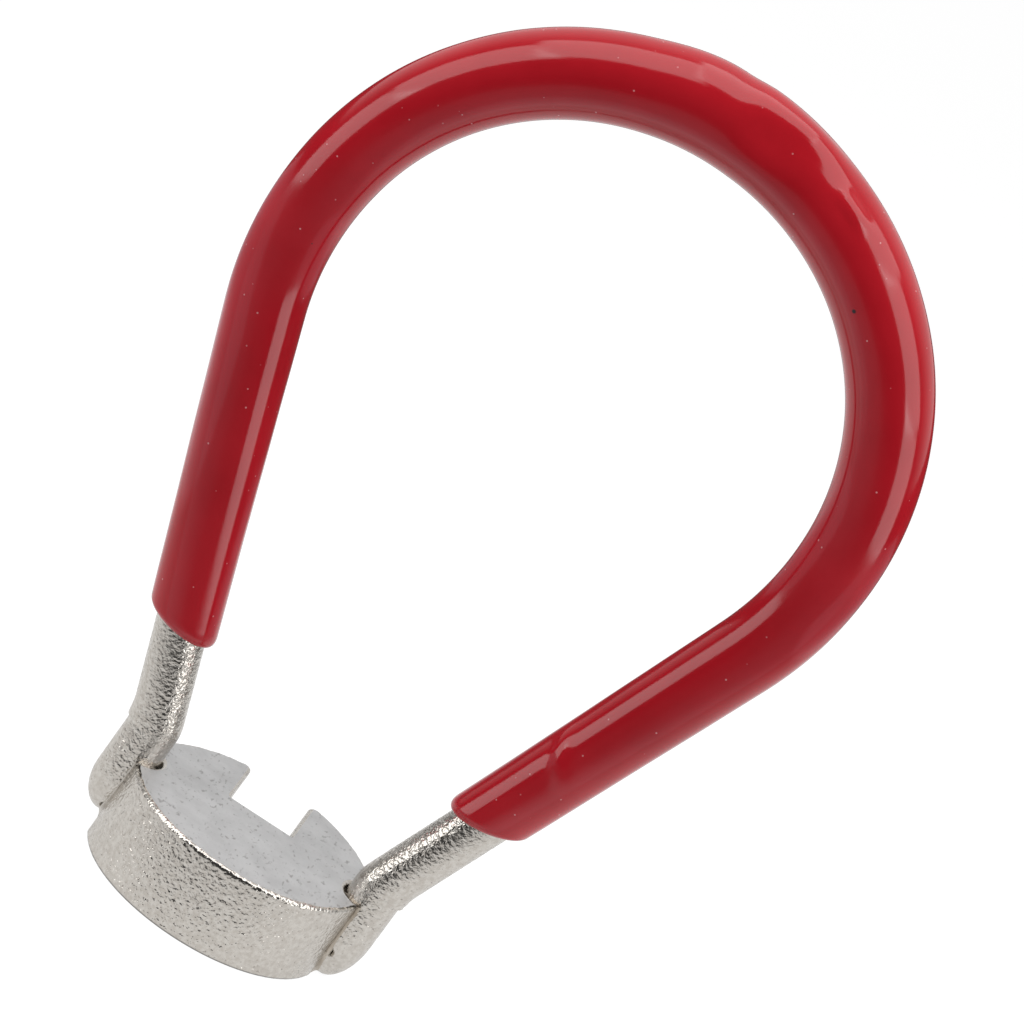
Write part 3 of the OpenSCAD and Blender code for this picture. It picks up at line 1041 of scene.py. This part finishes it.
def make_lamps():
    middle = Vector((0, 0, 0.5 * cad_high[2]))
    step = math.pi / (ARCH_BOXES - 1)
    for k in range(ARCH_BOXES):
        angle = k * step
        offset = Vector((math.cos(angle), -ARCH_FORWARD * abs(math.cos(angle)), math.sin(angle)))
        lamp = bpy.data.lights.new(f"soft_box_{k}", "AREA")
        lamp.shape = "RECTANGLE"
        lamp.size = ARCH_WIDTH + ARCH_TOP_WIDER * math.sin(angle) ** ARCH_TOP_POWER
        lamp.size_y = 2 * ARCH_RADIUS * math.tan(step / 2) * ARCH_LAP
        lamp.energy = ARCH_RADIANCE * math.pi * lamp.size * lamp.size_y
        stand = bpy.data.objects.new(lamp.name, lamp)
        back = offset.normalized()
        along = Vector((-math.sin(angle), 0, math.cos(angle)))
        along = (along - along.dot(back) * back).normalized()
        turn = Matrix((along.cross(back), along, back)).transposed()
        stand.matrix_world = Matrix.Translation(middle + ARCH_RADIUS * offset) @ turn.to_4x4()
        stand.visible_camera = False
        bpy.context.scene.collection.objects.link(stand)


# Light from the white floor further out, for the coat alone: lowest and highest x and y of each sheet,
# half of the angle over which it shines, and its radiance straight up
BOUNCES = (
    (-0.12, 0.14, -0.14, -0.014, math.radians(72), 0.42),
    (-0.12, 0.14, -0.14, -0.030, math.radians(72), 0.42),
    (-0.16, -0.034, -0.050, 0.10, math.radians(90), 0.30),
    (-0.16, -0.052, -0.032, 0.10, math.radians(90), 0.30),
    (0.058, 0.18, -0.050, 0.10, math.radians(90), 0.30),
    (0.076, 0.18, -0.032, 0.10, math.radians(90), 0.30),
)
BOUNCE_HEIGHT = 0.0005
BOUNCE_TINT = (1.0, 0.95, 1.08)


def make_bounces(lit_piece):
    """Sheets of light that face up and light only one piece. A narrow sheet shines stronger, so its
    energy is brought down to give the radiance straight up."""
    lit = bpy.data.collections.new("bounce_lit")
    lit.objects.link(lit_piece)
    for k, (low_x, high_x, low_y, high_y, half, radiance) in enumerate(BOUNCES):
        lamp = bpy.data.lights.new(f"bounce_{k}", "AREA")
        lamp.shape = "RECTANGLE"
        lamp.size, lamp.size_y = high_x - low_x, high_y - low_y
        lamp.spread = 2 * half
        lamp.color = BOUNCE_TINT
        gain = math.tan(half) / (math.tan(half) - half) if half < math.pi / 2 else 1.0
        lamp.energy = radiance / gain * math.pi * lamp.size * lamp.size_y
        stand = bpy.data.objects.new(lamp.name, lamp)
        middle = ((low_x + high_x) / 2, (low_y + high_y) / 2, BOUNCE_HEIGHT)
        stand.matrix_world = Matrix.Translation(middle) @ Matrix.Rotation(math.pi, 4, "X")
        stand.visible_camera = False
        bpy.context.scene.collection.objects.link(stand)
        stand.light_linking.receiver_collection = lit


# The camera's turn about X, Y and Z, and its place in its own axes from a point at the head's mid-height
# that lies under the middle of the top face
CAMERA_TURN = [math.radians(a) for a in (-70.65, -0.96, -33.07)]
CAMERA_PLACE = Vector((0.01387, 0.01726, 0.400))
CAMERA_LENS_PX = 8100.0
IMAGE_PX = 1024.0
SENSOR = 36.0


def make_camera():
    data = bpy.data.cameras.new("camera")
    data.sensor_width = SENSOR
    data.sensor_height = SENSOR
    data.sensor_fit = "HORIZONTAL"
    data.lens = CAMERA_LENS_PX / IMAGE_PX * SENSOR
    data.clip_start = 0.01
    data.clip_end = 10.0
    camera = bpy.data.objects.new("camera", data)
    turn_x, turn_y, turn_z = CAMERA_TURN
    turn = (Matrix.Rotation(turn_z, 3, "Z") @ Matrix.Rotation(turn_y, 3, "Y")
            @ Matrix.Rotation(turn_x, 3, "X")).transposed()
    place = turn @ CAMERA_PLACE + Vector((HEAD_T * math.tan(AXIS_LEAN), 0, HEAD_T / 2)) * MM
    camera.matrix_world = Matrix.Translation(place) @ turn.to_4x4()
    bpy.context.scene.collection.objects.link(camera)
    bpy.context.scene.camera = camera


make_floor()
make_world()
make_lamps()
make_bounces(coat)
make_camera()
bpy.context.scene.view_settings.view_transform = "Standard"
